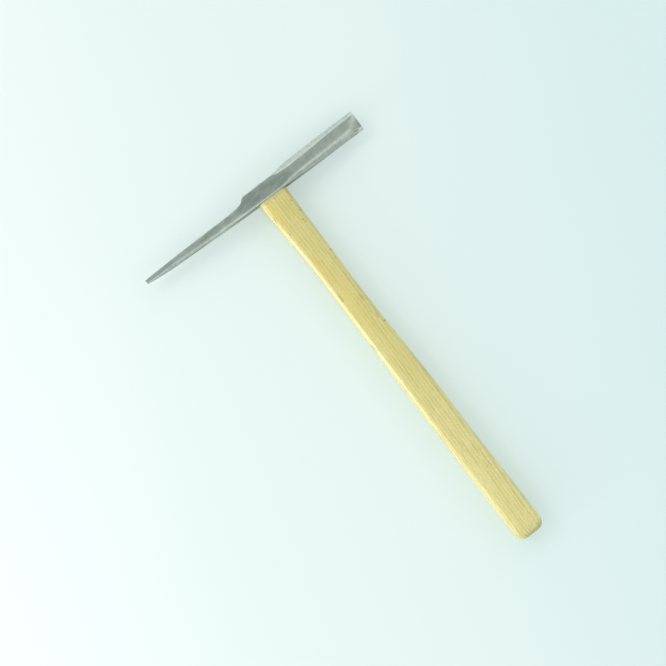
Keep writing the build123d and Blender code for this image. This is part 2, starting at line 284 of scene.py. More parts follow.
class HammerFinish(bpy.types.PropertyGroup):
    steel_dark: colour_setting(
        "Steel, dark", "Forged steel where the surface is dull", (0.470, 0.550, 0.490))
    steel_light: colour_setting(
        "Steel, light", "Forged steel where it is polished by use", (0.545, 0.620, 0.560))
    ground_dark: colour_setting(
        "Bevels, dark", "Grinding marks of the bevels, in their furrows", (0.38, 0.45, 0.40))
    ground_light: colour_setting(
        "Bevels, light", "Grinding marks of the bevels, on their crests", (0.64, 0.72, 0.66))
    ground_dull: colour_setting(
        "Bevels, dull", "Coarse sharpening marks across the lower bevel's end", (0.26, 0.32, 0.29))
    # Painted reflection, lighter and bluish, in the hardness test mark
    steel_test_mark_reflection: colour_setting(
        "Steel, test mark", "Painted bluish reflection in the hardness test mark", (0.50, 0.66, 0.70))
    steel_nick: colour_setting(
        "Steel, nicks", "Darker colour in the nicks of the chisel's end", (0.13, 0.16, 0.15))
    # Painted shade of the head's unground sides
    steel_side_shade: colour_setting(
        "Steel, side shade", "Painted shade on the unground sides", (0.22, 0.27, 0.235))
    steel_struck: colour_setting(
        "Wedge steel, struck", "Oxidised steel of the hammered wedge", (0.43, 0.47, 0.41))
    ash_light: colour_setting(
        "Ash, late wood", "Pale wood between the grain lines", (0.725, 0.668, 0.270))
    ash_butt: colour_setting(
        "Ash, towards the butt", "Paler wood of the grip's lower half", (0.795, 0.738, 0.340))
    # Painted light on the handle's side towards the window
    ash_lit_side: colour_setting(
        "Ash, lit side", "Painted light along the pick's side of the handle", (0.84, 0.775, 0.355))
    ash_dark: colour_setting(
        "Ash, early wood", "Darker grain lines of the handle", (0.515, 0.455, 0.133))
    ash_warm: colour_setting(
        "Ash, warm streaks", "Yellow streaks in the wood near the head", (0.75, 0.57, 0.12))
    ash_mark: colour_setting(
        "Ash, marks", "Small dents and specks in the varnish", (0.23, 0.18, 0.06))
    ash_end: colour_setting(
        "Ash, end grain", "Darker open end of the butt", (0.34, 0.36, 0.16))
    # Painted shade of the wood where the head meets it
    ash_shade_under_head: colour_setting(
        "Ash, shade under the head", "Painted shade on the wood under the head", (0.34, 0.37, 0.22))
    wedge_wood: colour_setting(
        "Wedge wood", "Dark streaks of the sawn hardwood wedge", (0.32, 0.22, 0.09))
    varnish: level_setting("Varnish", "Weight of the clear coat on the handle", 0.9)


class HammerStage(bpy.types.PropertyGroup):
    floor_colour: colour_setting(
        "Floor colour", "Pale colour of the floor and of everything behind it", (0.79, 0.91, 0.885))
    floor_painted_lit: colour_setting(
        "Floor, light side", "Floor colour with painted light towards the window", (0.90, 0.98, 0.97))
    floor_painted_shade: colour_setting(
        "Floor, dark side", "Floor colour with painted shade away from the window", (0.70, 0.86, 0.85))
    floor_speckle: colour_setting(
        "Floor, speckle", "Fine specks of the floor", (0.6, 0.72, 0.70))
    shadow_lift: level_setting(
        "Shadow lift", "Share of the shadow that scattered light fills", 0.45)
    window: level_setting(
        "Window", "Brightness of the low window on the pick's side", 11.0, 30.0)
    window_rest: level_setting(
        "Rest of the window", "Brightness of its shaded part", 1.1, 30.0)
    overhead: level_setting(
        "Overhead level", "Brightness of the part of the room straight above", 0.265, 2.0)
    lamp: level_setting(
        "Lamp", "Brightness of the soft lamp beyond the head", 3.0, 20.0)
    lamp_direction: bpy.props.FloatVectorProperty(
        name="Lamp direction", description="Where the lamp stands, seen from the hammer",
        default=(-0.42, 0.56, 0.71), subtype="DIRECTION")
    surround: level_setting(
        "Surround level", "Brightness of the ring round the overhead part", 1.36, 2.0)
    horizon: level_setting(
        "Horizon level", "Brightness of the walls", 0.79, 2.0)


# ---- modelling helpers

def clear_selection():
    if bpy.context.mode != "OBJECT":
        bpy.ops.object.mode_set(mode="OBJECT")
    bpy.ops.object.select_all(action="DESELECT")


def take(piece):
    """Make a piece the active object and the only selected one."""
    clear_selection()
    bpy.context.view_layer.objects.active = piece
    piece.select_set(True)


def take_new(name, applied=True):
    """The primitive that was just added, named, with its place and turn moved into its mesh."""
    piece = bpy.context.active_object
    piece.name = name
    piece.data.name = name
    if applied:
        bpy.ops.object.transform_apply(location=True, rotation=True, scale=True)
    return piece


def select_whole():
    bpy.ops.mesh.select_all(action="SELECT")


def edit(piece):
    """Open a piece in edit mode with all of it selected."""
    take(piece)
    bpy.ops.object.mode_set(mode="EDIT")
    bpy.ops.mesh.select_mode(type="VERT")
    select_whole()


def close_edit():
    """Turn all faces of a closed piece outwards and leave edit mode."""
    select_whole()
    bpy.ops.mesh.normals_make_consistent(inside=False)
    bpy.ops.object.mode_set(mode="OBJECT")


def choose(piece, kind, test):
    """Select in edit mode the vertices, edges or faces that pass a test, and nothing else."""
    mesh = bmesh.from_edit_mesh(piece.data)
    for part in (mesh.verts, mesh.edges, mesh.faces):
        for element in part:
            element.select_set(False)
    for element in [element for element in getattr(mesh, kind) if test(element)]:
        element.select_set(True)
    mesh.select_flush_mode()
    bmesh.update_edit_mesh(piece.data)


def modify(piece, kind, name, **settings):
    """Add a modifier, set it up and apply it."""
    take(piece)
    modifier = piece.modifiers.new(name, kind)
    for key, value in settings.items():
        setattr(modifier, key, value)
    bpy.ops.object.modifier_apply(modifier=name)


def carve(piece, cutter, operation="DIFFERENCE"):
    modify(piece, "BOOLEAN", "Carve", operation=operation, solver="EXACT", object=cutter)
    bpy.data.objects.remove(cutter)


def ripple(piece, name, size, reach, mid_level):
    """Let a piece's faces wander from their sections in soft waves of a size."""
    clouds = bpy.data.textures.new(name, "CLOUDS")
    clouds.noise_scale = size * MM
    clouds.noise_depth = 1
    modify(piece, "DISPLACE", "Ripple", texture=clouds, texture_coords="LOCAL",
           mid_level=mid_level, strength=reach * 2)


def soften(piece, width, segments):
    modify(piece, "BEVEL", "Soft edges", width=width * MM, segments=segments, limit_method="ANGLE")


def finish_piece(piece, node, material, smooth=35.0):
    """Smooth shading, one material and a place on the CAD body, with the node that it stands for
    hidden.
    """
    take(piece)
    bpy.ops.object.transform_apply(location=True, rotation=True, scale=True)
    bpy.ops.object.shade_smooth_by_angle(angle=math.radians(smooth))
    piece.data.materials.clear()
    piece.data.materials.append(material)
    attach(piece, "root")
    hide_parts(node)


def along(table, x):
    """Value at a place, read from a table of places and values."""
    for (x0, v0), (x1, v1) in zip(table, table[1:]):
        if x <= x1:
            break
    share = min(max((x - x0) / (x1 - x0), 0.0), 1.0)
    return v0 + (v1 - v0) * share


def section_corners(section):
    """The rounded outline of a section of the head, in metres, from the lower back edge."""
    x, bottom, top, thickness, steep, steep_drop, worn, worn_drop, *upper = section
    bevel, bevel_drop = upper or PICK_BEVEL
    half = thickness / 2
    roll = along(FACE_ROLL, x)
    low = half - roll * ROLL_SLOPE
    ridge, shoulder = along(RIDGE_ROUNDING, x), along(BEVEL_ROUNDING, x)
    side = [
        # height, distance from the middle plane, rounding before and after, steps
        (bottom, low - steep_drop - worn_drop, CORNER_ROUNDING, CORNER_ROUNDING, 2),
        (bottom + steep, low - worn_drop, min(ridge, steep * 0.6), ridge * 0.7, 3),
        (bottom + steep + worn, low, ridge * 0.7, ridge * 0.8, 4),
        (bottom + steep + worn + roll, half, roll * 0.45, roll * 0.45, 3),
        (top - bevel, half, shoulder * 1.1, min(shoulder, bevel * 0.5), 4),
        (top, half - bevel_drop, max(CORNER_ROUNDING, bevel * 0.10), CORNER_ROUNDING, 2),
    ]
    back = [(y, -z, after, before, steps) for y, z, before, after, steps in reversed(side)]
    loop = [(Vector((y, z)), before, after, steps) for y, z, before, after, steps in side + back]
    outline = []
    for i, (corner, before, after, steps) in enumerate(loop):
        start = corner + (loop[i - 1][0] - corner).normalized() * before
        end = corner + (loop[(i + 1) % len(loop)][0] - corner).normalized() * after
        for step in range(steps + 1):
            t = step / steps
            outline.append(start * (1 - t) ** 2 + corner * 2 * t * (1 - t) + end * t ** 2)
    return [Vector((x, p.x, MID_Z + p.y)) * MM for p in outline]


def shape_ring(piece, ring, places):
    """Move each corner of a ring, given by its vertex numbers, from its old to its new place."""
    left = list(ring)
    for old, new in places:
        mesh = bmesh.from_edit_mesh(piece.data)
        mesh.verts.ensure_lookup_table()
        vertex = min((mesh.verts[i] for i in left), key=lambda v: (v.co - old).length_squared)
        left.remove(vertex.index)
        for i in ring:
            mesh.verts[i].select_set(i == vertex.index)
        bpy.ops.transform.translate(value=new - old)


def selected_ring(piece):
    return [v.index for v in bmesh.from_edit_mesh(piece.data).verts if v.select]


def extrude_sections(piece, sections):
    """Extrude the selected end face through the sections, one ring at a time."""
    current = section_corners(sections[0])
    for section in sections[1:]:
        target = section_corners(section)
        bpy.ops.mesh.extrude_region_move()
        ring = selected_ring(piece)
        shape_ring(piece, ring, zip(current, target))
        whole = set(ring)
        choose(piece, "verts", lambda v: v.index in whole)
        current = target


# ---- material helpers

def is_socket(value):
    return isinstance(value, bpy.types.NodeSocket)


def wire(made, inputs):
    """Set a node's inputs: a value sets the socket, and a socket is linked to it."""
    for key, value in inputs.items():
        if is_socket(value):
            made.id_data.links.new(value, made.inputs[key])
        else:
            made.inputs[key].default_value = value


def node(kind, inputs, **settings):
    """New node in the tree of the sockets among its inputs."""
    tree = next(value.id_data for value in inputs.values() if is_socket(value))
    made = tree.nodes.new("ShaderNode" + kind)
    for key, value in settings.items():
        setattr(made, key, value)
    wire(made, inputs)
    return made


def maths(operation, first, second=0.0, clamp=False):
    return node("Math", {0: first, 1: second}, operation=operation, use_clamp=clamp).outputs[0]


def times(first, *others):
    for other in others:
        first = maths("MULTIPLY", first, other)
    return first


def plus(first, *others, clamp=False):
    """Sum of values, which clamp keeps between 0 and 1."""
    for other in others:
        first = maths("ADD", first, other, clamp and other is others[-1])
    return first


def vectors(operation, first, second=(0.0, 0.0, 0.0), output="Vector"):
    return node("VectorMath", {0: first, 1: second}, operation=operation).outputs[output]


def axes(place):
    """X, Y and Z of a place."""
    return node("SeparateXYZ", {0: place}).outputs[:3]


def mix(share, first, second):
    made = node("Mix", {"Factor": share}, data_type="RGBA")
    colours = [value if is_socket(value) else (*value[:3], 1.0) for value in (first, second)]
    wire(made, {6: colours[0], 7: colours[1]})
    return made.outputs[2]


def mix_values(share, first, second):
    return node("Mix", {0: share, 2: first, 3: second}, data_type="FLOAT").outputs[0]


def fade(value, low, high, out_low=0.0, out_high=1.0):
    """Smooth step of a value from low to high."""
    return node("MapRange", {"Value": value, "From Min": low, "From Max": high,
                             "To Min": out_low, "To Max": out_high},
                interpolation_type="SMOOTHSTEP").outputs["Result"]


def fade_over(place, span, out_low=0.0, out_high=1.0):
    """Smooth step of a place along an axis over a span in millimetres."""
    return fade(place, span[0] * MM, span[1] * MM, out_low, out_high)


def noise(place, scale, detail=2.0, roughness=0.5):
    """Noise, drawn out along an axis where its scale is given for all three."""
    if not isinstance(scale, float):
        place, scale = vectors("MULTIPLY", place, scale), 1.0
    return node("TexNoise", {"Vector": place, "Scale": scale, "Detail": detail,
                             "Roughness": roughness}).outputs[0]


def new_group(name, output, inputs):
    """Node group that makes one mask from a place and from inputs with the defaults given."""
    tree = bpy.data.node_groups.new(name, "ShaderNodeTree")
    tree.interface.new_socket("Vector", in_out="INPUT", socket_type="NodeSocketVector")
    for label, default in inputs.items():
        kind = "NodeSocketVector" if isinstance(default, tuple) else "NodeSocketFloat"
        tree.interface.new_socket(label, in_out="INPUT", socket_type=kind).default_value = default
    tree.interface.new_socket(output, in_out="OUTPUT", socket_type="NodeSocketFloat")
    return tree.nodes.new("NodeGroupInput").outputs, tree.nodes.new("NodeGroupOutput")


def use_group(name, inputs):
    made = inputs["Vector"].id_data.nodes.new("ShaderNodeGroup")
    made.node_tree = bpy.data.node_groups[name]
    wire(made, inputs)
    return made.outputs[0]


def build_masks():
    """Fine streaks and soft patches: noise drawn out by its scales and cut between two levels."""
    for name, roughness in (("Fine streaks", 0.6), ("Soft patches", 0.5)):
        given, wanted = new_group(
            name, "Mask", {"Scale": (100.0, 100.0, 100.0), "Detail": 2.0, "Low": 0.4, "High": 0.6})
        drawn = noise(given["Vector"], given["Scale"], given["Detail"], roughness)
        wire(wanted, {0: fade(drawn, given["Low"], given["High"])})


def build_mark():
    """One small mark with soft, uneven edges, at a place and of a size."""
    given, wanted = new_group(
        "Small mark", "Mask",
        {"Place": (0.0, 0.0, 0.0), "Size": (0.001, 0.001, 0.01), "Turn": 0.0, "Strength": 1.0})
    offset = vectors("SUBTRACT", given["Vector"], given["Place"])
    turned = node("VectorRotate", {"Vector": offset, "Angle": given["Turn"]},
                  rotation_type="Z_AXIS").outputs[0]
    scaled = vectors("DIVIDE", turned, given["Size"])
    distance = vectors("LENGTH", scaled, output="Value")
    uneven = plus(distance, times(noise(given["Vector"], 2200.0), 0.9))
    wire(wanted, {0: times(fade(uneven, 1.6, 0.9), given["Strength"])})


def streaks(place, scale, detail=3.0, low=0.35, high=0.65):
    return use_group("Fine streaks", {"Vector": place, "Scale": scale, "Detail": detail,
                                      "Low": low, "High": high})


def patches(place, scale, low=0.4, high=0.6):
    return use_group("Soft patches", {"Vector": place, "Scale": scale, "Low": low, "High": high})


def small_marks(place, depth, rows):
    """All marks of a table in one mask, as deep into the surface as given."""
    mask = None
    for where, size, turn, strength in rows:
        mark = use_group("Small mark", {
            "Vector": place, "Place": Vector(where) * MM, "Size": Vector((*size, depth)) * MM,
            "Turn": math.radians(turn), "Strength": strength})
        mask = mark if mask is None else maths("MAXIMUM", mask, mark)
    return mask


def new_material(name):
    material = bpy.data.materials.new(name)
    material.use_nodes = True
    nodes = material.node_tree.nodes
    place = nodes.new("ShaderNodeTexCoord").outputs["Object"]
    return material, nodes["Principled BSDF"], place


def bumped(strength, distance, height):
    return node("Bump", {"Strength": strength, "Distance": distance, "Height": height}).outputs[0]


# ---- materials

# Painted reflection of the test mark, and darker colour in the nicks
TEST_MARK_REFLECTION = [((*TEST_MARK_PLACE, CHEEK_Z), (0.9, 0.9), 0.0, 0.6)]
NICK_DARKENING = [((*where, 10.5), size, 0.0, 0.58) for where, size, depth in NICKS]


def steel_material():
    """Ground and forged steel: cross-grain marks, dull patches and painted shade on the unground
    sides.
    """
    finish = bpy.context.scene.hammer_finish
    material, shader, place = new_material("Forged steel")
    x, y, _ = axes(place)
    _, turn_y, turn_z = axes(place.node.outputs["Normal"])
    marks = streaks(place, (1500.0, 120.0, 120.0), 4.0, 0.30, 0.70)
    dull = patches(place, (110.0, 260.0, 260.0), 0.35, 0.68)
    grain = noise(place, 1500.0, 3.0)
    mottle = noise(place, 420.0, 3.0)
    light = plus(times(dull, 0.35), times(marks, 0.60), clamp=True)
    light = plus(light, fade(mottle, 0.32, 0.68, -0.35, 0.35), clamp=True)
    colour = mix(light, finish.steel_dark, finish.steel_light)
    slanting = fade(maths("ABSOLUTE", turn_z), 0.97, 0.92)
    ground = mix(marks, finish.ground_dark, finish.ground_light)
    colour = mix(times(slanting, 0.36), colour, ground)
    sharpened = times(fade_over(x, SHARPENED_FROM), fade_over(y, SHARPENED_BELOW),
                      fade_over(x, SHARPENED_UNTIL), plus(0.25, times(marks, 0.40)))
    colour = mix(sharpened, colour, finish.ground_dull)
    # Painted bluish reflection in the test mark
    colour = mix(small_marks(place, 4.0, TEST_MARK_REFLECTION), colour, finish.steel_test_mark_reflection)
    # Darker, rougher steel in the nicks
    nicks = small_marks(place, 6.0, NICK_DARKENING)
    colour = mix(nicks, colour, finish.steel_nick)
    # Painted shade on the sides that face along the handle, faint at the pick's root
    side_shade_reach = maths("MAXIMUM", fade_over(x, SIDE_SHADE_TO_BLOCK, 0.10, 1.0),
                        fade_over(x, SIDE_SHADE_TO_PICK, 0.10, 1.0))
    sides = times(fade(maths("ABSOLUTE", turn_y), 0.82, 0.96), side_shade_reach)
    colour = mix(times(sides, 0.6), colour, finish.steel_side_shade)
    rough = plus(0.27, times(dull, 0.06), times(grain, 0.08),
                 times(sides, 0.18), times(nicks, 0.40))
    height = plus(times(marks, 0.6), times(grain, 0.4))
    wire(shader, {"Base Color": colour, "Metallic": 1.0, "Roughness": rough,
                  "Normal": bumped(0.22, 0.00006, height)})
    return material


ASH_MARKS = [
    # place, half width and half length, turn in degrees, strength
    ((9.6, -10.5, 16.8), (0.5, 3.2), -6.0, 0.45),
    ((8.2, -16.3, 17.4), (0.5, 0.7), 0.0, 0.65),
    ((9.1, -25.0, 17.0), (0.9, 1.2), 0.0, 0.50),
    ((6.7, -31.1, 18.0), (0.7, 1.3), -35.0, 0.50),
    ((7.5, -33.4, 17.8), (0.5, 0.6), 0.0, 0.85),
    ((9.7, -58.5, 16.6), (0.9, 1.2), 0.0, 0.60),
    ((8.8, -64.7, 17.2), (0.35, 1.6), 28.0, 0.45),
    ((-6.0, -8.4, 18.0), (0.5, 0.5), 0.0, 0.75),
    ((-8.7, -20.6, 16.6), (0.40, 3.8), 12.0, 0.75),
    ((-6.3, -34.0, 18.0), (0.5, 0.7), 0.0, 0.65),
    ((7.2, -78.2, 17.8), (0.6, 0.8), 0.0, 0.40),
    ((6.4, -97.0, 18.0), (1.4, 2.8), 0.0, 0.22),
    ((7.5, -112.4, 17.8), (1.1, 2.8), 8.0, 0.30),
    ((9.3, -118.5, 17.0), (0.9, 0.9), 0.0, 0.65),
    ((10.2, -128.0, 16.4), (0.5, 3.4), 0.0, 0.40),
    ((-5.4, -87.8, 18.0), (0.35, 3.6), 4.0, 0.60),
    ((-5.5, -91.0, 18.0), (0.5, 0.9), 0.0, 0.75),
    ((-7.8, -129.0, 17.0), (1.2, 4.0), -16.0, 0.38),
]


def ash_material():
    """Varnished ash: slightly slanting growth rings, open pores, warm streaks and small dents."""
    finish = bpy.context.scene.hammer_finish
    material, shader, place = new_material("Varnished ash")
    x, y, z = axes(place)
    wander = noise(place, (60.0, 9.0, 60.0))
    jitter = noise(place, (420.0, 6.0, 420.0), 3.0)
    ring = node("CombineXYZ", {
        0: plus(x, times(y, y, 0.06), RING_AWAY[0] * MM),
        1: plus(z, RING_AWAY[1] * MM)})
    radius = plus(vectors("LENGTH", ring.outputs[0], output="Value"),
                  times(wander, RING_WANDER * MM), times(jitter, RING_JITTER * MM))
    phase = maths("FRACT", maths("DIVIDE", radius, RING_SPACING * MM))
    early = times(fade(phase, 0.0, 0.40), fade(phase, 1.0, 0.50))
    pores = streaks(place, (2400.0, 150.0, 2400.0), 3.0, 0.44, 0.64)
    fibres = streaks(place, (900.0, 34.0, 900.0), 4.0, 0.25, 0.75)
    presence = patches(place, (200.0, 22.0, 120.0), 0.30, 0.62)
    line = times(early, plus(0.40, times(pores, 0.60)), plus(0.35, times(presence, 0.65)))
    speckle = noise(place, 1100.0)
    tone = plus(times(line, 0.72), times(fibres, 0.40), times(pores, 0.10),
                fade(speckle, 0.30, 0.70, -0.16, 0.16), clamp=True)
    light = mix(fade_over(y, PALER_BUTT), finish.ash_light, finish.ash_butt)
    # Painted light on the pick's side of the handle
    light = mix(times(fade_over(x, LIT_SIDE), 0.55), light, finish.ash_lit_side)
    colour = mix(tone, light, finish.ash_dark)
    warm = times(patches(place, (150.0, 16.0, 90.0), 0.40, 0.66),
                 fade_over(y, WARM_NEAR_HEAD, 0.12, 1.0),
                 fade_over(x, WARM_INSIDE, 0.35, 1.0), 0.50)
    colour = mix(warm, colour, finish.ash_warm)
    marks = small_marks(place, 3.0, ASH_MARKS)
    colour = mix(marks, colour, finish.ash_mark)
    slanted = times(fade_over(x, END_GRAIN_SLANT), END_GRAIN_SHIFT * MM)
    end_grain = fade_over(maths("SUBTRACT", y, slanted), END_GRAIN)
    colour = mix(times(end_grain, 0.62), colour, finish.ash_end)
    scuffs = times(patches(place, (420.0, 300.0, 420.0), 0.36, 0.60), fade_over(y, SCUFFED_BUTT),
                   fade_over(x, SCUFFED_SIDE, 0.25, 1.0), 0.35)
    colour = mix(scuffs, colour, finish.ash_end)
    # Painted shade on the handle under the head, with an edge that the fibres make ragged
    head_shade = fade_over(plus(y, times(fibres, SHADE_UNDER_HEAD_RAGGED * MM)), SHADE_UNDER_HEAD)
    colour = mix(times(head_shade, 0.55), colour, finish.ash_shade_under_head)
    height = maths("SUBTRACT", times(fibres, 0.35), plus(times(line, 0.5), marks))
    wire(shader, {"Base Color": colour, "Roughness": plus(0.46, times(tone, 0.18)),
                  "Normal": bumped(0.22, 0.0001, height),
                  "Coat Weight": finish.varnish, "Coat Roughness": 0.25, "Coat IOR": 1.5})
    return material


def wedge_wood_material():
    """Dry hardwood, sawn across, with its end grain showing."""
    finish = bpy.context.scene.hammer_finish
    material, shader, place = new_material("Wedge hardwood")
    pores = streaks(place, (900.0, 300.0, 3000.0), 3.0, 0.40, 0.65)
    worn = patches(place, (300.0, 120.0, 400.0))
    tone = plus(times(pores, 0.5), times(worn, 0.3))
    wire(shader, {"Base Color": mix(tone, finish.ash_dark, finish.wedge_wood),
                  "Roughness": fade(worn, 0.0, 1.0, 0.60, 0.78),
                  "Normal": bumped(0.4, 0.0001, pores)})
    return material


def wedge_steel_material():
    """Sheared mild steel with hammered, slightly oxidised faces."""
    finish = bpy.context.scene.hammer_finish
    material, shader, place = new_material("Wedge steel")
    struck = patches(place, (260.0, 260.0, 260.0), 0.35, 0.65)
    marks = streaks(place, (900.0, 400.0, 250.0))
    height = plus(struck, times(marks, 0.5))
    wire(shader, {"Base Color": mix(struck, finish.steel_light, finish.steel_struck),
                  "Metallic": 1.0, "Roughness": plus(0.34, times(struck, 0.2)),
                  "Normal": bumped(0.2, 0.0001, height)})
    return material


# ---- eye and wedge shapes

def middle_at(x, y):
    """Point of the middle plane, in metres."""
    return Vector((x, y, MID_Z)) * MM


def upright_plane(name, y):
    """Square of one metre that faces along Y at a height of the head, open in edit mode."""
    clear_selection()
    bpy.ops.mesh.primitive_plane_add(size=1.0, location=middle_at(0, y),
                                     rotation=(math.radians(90), 0, 0))
    piece = take_new(name)
    edit(piece)
    return piece


def resize(centre, x=1.0, y=1.0, z=1.0):
    bpy.ops.transform.resize(value=(x, y, z), center_override=centre)


def eye_size(y, gap):
    """Length and width of the eye at a height of the head, less a gap all round, in metres."""
    share = (y - UNDERSIDE) / (BLOCK_TOP - UNDERSIDE)
    return [(low + (high - low) * share - 2 * gap) * MM for low, high in zip(EYE_LOW, EYE_TOP)]


def tapered_slot(name, y_low, y_high, gap=0.0):
    """Closed plug along Y that fills the eye between two heights, with rounded ends."""
    (low_length, low_width), (length, width) = eye_size(y_low, gap), eye_size(y_high, gap)
    plug = upright_plane(name, y_low)
    resize(middle_at(0, y_low), low_length, 1, low_width)
    bpy.ops.mesh.bevel(offset=low_width / 2 * 0.999, segments=12, affect="VERTICES")
    select_whole()
    bpy.ops.mesh.extrude_region_move(
        TRANSFORM_OT_translate={"value": (0, (y_high - y_low) * MM, 0)})
    resize(middle_at(0, y_high), length / low_length, 1, width / low_width)
    close_edit()
    return plug


def wedge_block(name, size, root, place):
    """Block at a place, whose lower end is pinched to a share of its size along X and Z."""
    clear_selection()
    bpy.ops.mesh.primitive_cube_add(size=1.0, location=place)
    block = take_new(name)
    edit(block)
    resize(place, *size)
    choose(block, "verts", lambda v: v.co.y < place.y)
    resize(place, root[0], 1, root[1])
    bpy.ops.object.mode_set(mode="OBJECT")
    return block


def kerf_wedge(name, gap):
    """Wedge along the eye that fills the sawn slot. Without a gap it is the saw and goes higher."""
    above = 0.0 if gap else 1.0
    slope = (KERF_MOUTH - KERF_ROOT) / KERF_DEPTH
    mouth = KERF_MOUTH + slope * above - 2 * gap
    root = KERF_ROOT - 2 * gap
    height = KERF_DEPTH + above
    size = (KERF_LENGTH * MM, height * MM, mouth * MM)
    place = middle_at(0, BLOCK_TOP - KERF_DEPTH + height / 2)
    return wedge_block(name, size, (1, root / mouth), place)


def steel_wedge_block(name, gap=0.0):
    """Wedge across the wooden one, with its struck end above the head, and a gap all round."""
    low, high = (corner.copy() for corner in STEEL_WEDGE_BOX)
    high.y = BLOCK_TOP * MM + bpy.context.scene.hammer_sizes.wedge_stand
    width, height, length = high - low
    size = (width + 2 * gap * MM, height + gap * MM, length + 2 * gap * MM)
    place = (low + high) / 2 - Vector((0, gap * MM / 2, 0))
    return wedge_block(name, size, (STEEL_WEDGE_TIP * MM / size[0], 1), place)


# ---- operators

class HAMMER_OT_add_head(bpy.types.Operator):
    """Forge the head: extrude the pick, block and chisel, grind the edge and cut the eye"""
    bl_idname = "hammer.add_head"
    bl_label = "Add Head"

    def execute(self, context):
        head = self.forge(PICK_SECTIONS + BLOCK_SECTIONS + CHISEL_SECTIONS)
        ripple(head, "Forging ripple", FORGING_RIPPLE, context.scene.hammer_sizes.ripple, 0.5)
        self.grind_edge(head)
        carve(head, tapered_slot("eye_cutter", UNDERSIDE - EYE_CUT_REACH,
                                 BLOCK_TOP + EYE_CUT_REACH))
        self.mark_cheek(head)
        for place, size, depth in NICKS:
            self.nick(head, place, size, depth)
        modify(head, "WEIGHTED_NORMAL", "Flat faces", weight=80, keep_sharp=True)
        finish_piece(head, "hammer_head", steel_material(), smooth=30)
        return {"FINISHED"}

    def forge(self, sections):
        """Shape a disc as the first section, and extrude it through the others."""
        first = section_corners(sections[0])
        start = middle_at(sections[0][0], 0)
        clear_selection()
        bpy.ops.mesh.primitive_circle_add(vertices=len(first), radius=2 * MM, fill_type="NGON",
                                          location=start, rotation=(0, math.radians(90), 0))
        head = take_new("hammer_head_forged")
        edit(head)
        centre = sum(first, Vector()) / len(first)
        places = [v.co.copy() for v in bmesh.from_edit_mesh(head.data).verts]
        places.sort(key=lambda c: math.atan2((c - start).z, (c - start).y))
        first.sort(key=lambda c: math.atan2((c - centre).z, (c - centre).y))
        shape_ring(head, selected_ring(head), zip(places, first))
        select_whole()
        extrude_sections(head, sections)
        close_edit()
        return head

    def grind_edge(self, head):
        """Hollow both sharpened faces with a wheel that curves from their start to the edge."""
        for side in (1, -1):
            low, high = (Vector((x, y, MID_Z + z * side)) for x, y, z in GRIND_LINE)
            corner = Vector((*CHISEL_SECTIONS[-1][:2], MID_Z + GRIND_EDGE / 2 * side))
            axis = (high - low).normalized()
            chord = (corner - low) - axis * (corner - low).dot(axis)
            out = axis.cross(chord).normalized()
            if out.z * side < 0:
                out = -out
            rise = math.sqrt(GRIND_WHEEL ** 2 - (chord.length / 2) ** 2)
            middle = low + chord / 2 + out * rise
            clear_selection()
            bpy.ops.mesh.primitive_cylinder_add(
                vertices=480, radius=GRIND_WHEEL * MM, depth=60 * MM, location=middle * MM,
                rotation=axis.to_track_quat("Z", "Y").to_euler())
            carve(head, take_new("grinding_wheel", applied=False))

    def mark_cheek(self, head):
        """Press the hardness test mark into the upper cheek."""
        centre = Vector((*TEST_MARK_PLACE, CHEEK_Z - TEST_MARK_DEPTH + TEST_MARK_BALL)) * MM
        clear_selection()
        bpy.ops.mesh.primitive_uv_sphere_add(radius=TEST_MARK_BALL * MM, segments=64, ring_count=32,
                                             location=centre)
        carve(head, take_new("test_mark", applied=False))

    def nick(self, head, place, size, depth):
        """Gouge the upper side of the head at a place."""
        above, down = Vector((*place, 2 * CHEEK_Z)) * MM, Vector((0, 0, -1))
        found, where, normal, _ = head.ray_cast(above, down)
        if not found:
            raise RuntimeError("a nick misses the head")
        clear_selection()
        turn = (-down).rotation_difference(normal).to_euler()
        bpy.ops.mesh.primitive_uv_sphere_add(radius=1.0, segments=32, ring_count=16, location=where,
                                             rotation=turn)
        cutter = take_new("nick", applied=False)
        cutter.scale = Vector((*size, depth)) * MM
        carve(head, cutter)


def butt_sections():
    """Sections of the butt, which closes the handle with a quarter of an ellipse."""
    start, pick_half, chisel_half, thickness = HANDLE_SECTIONS[-1]
    across, deep = BUTT_ROUND
    rows = []
    for step in range(1, BUTT_STEPS + 1):
        angle = math.radians(90 / BUTT_STEPS * step)
        drop = 1 - math.cos(angle)
        rows.append((start + (HANDLE_LENGTH - start) * math.sin(angle), pick_half - across * drop,
                     chisel_half - across * drop, thickness - 2 * deep * drop))
    return rows


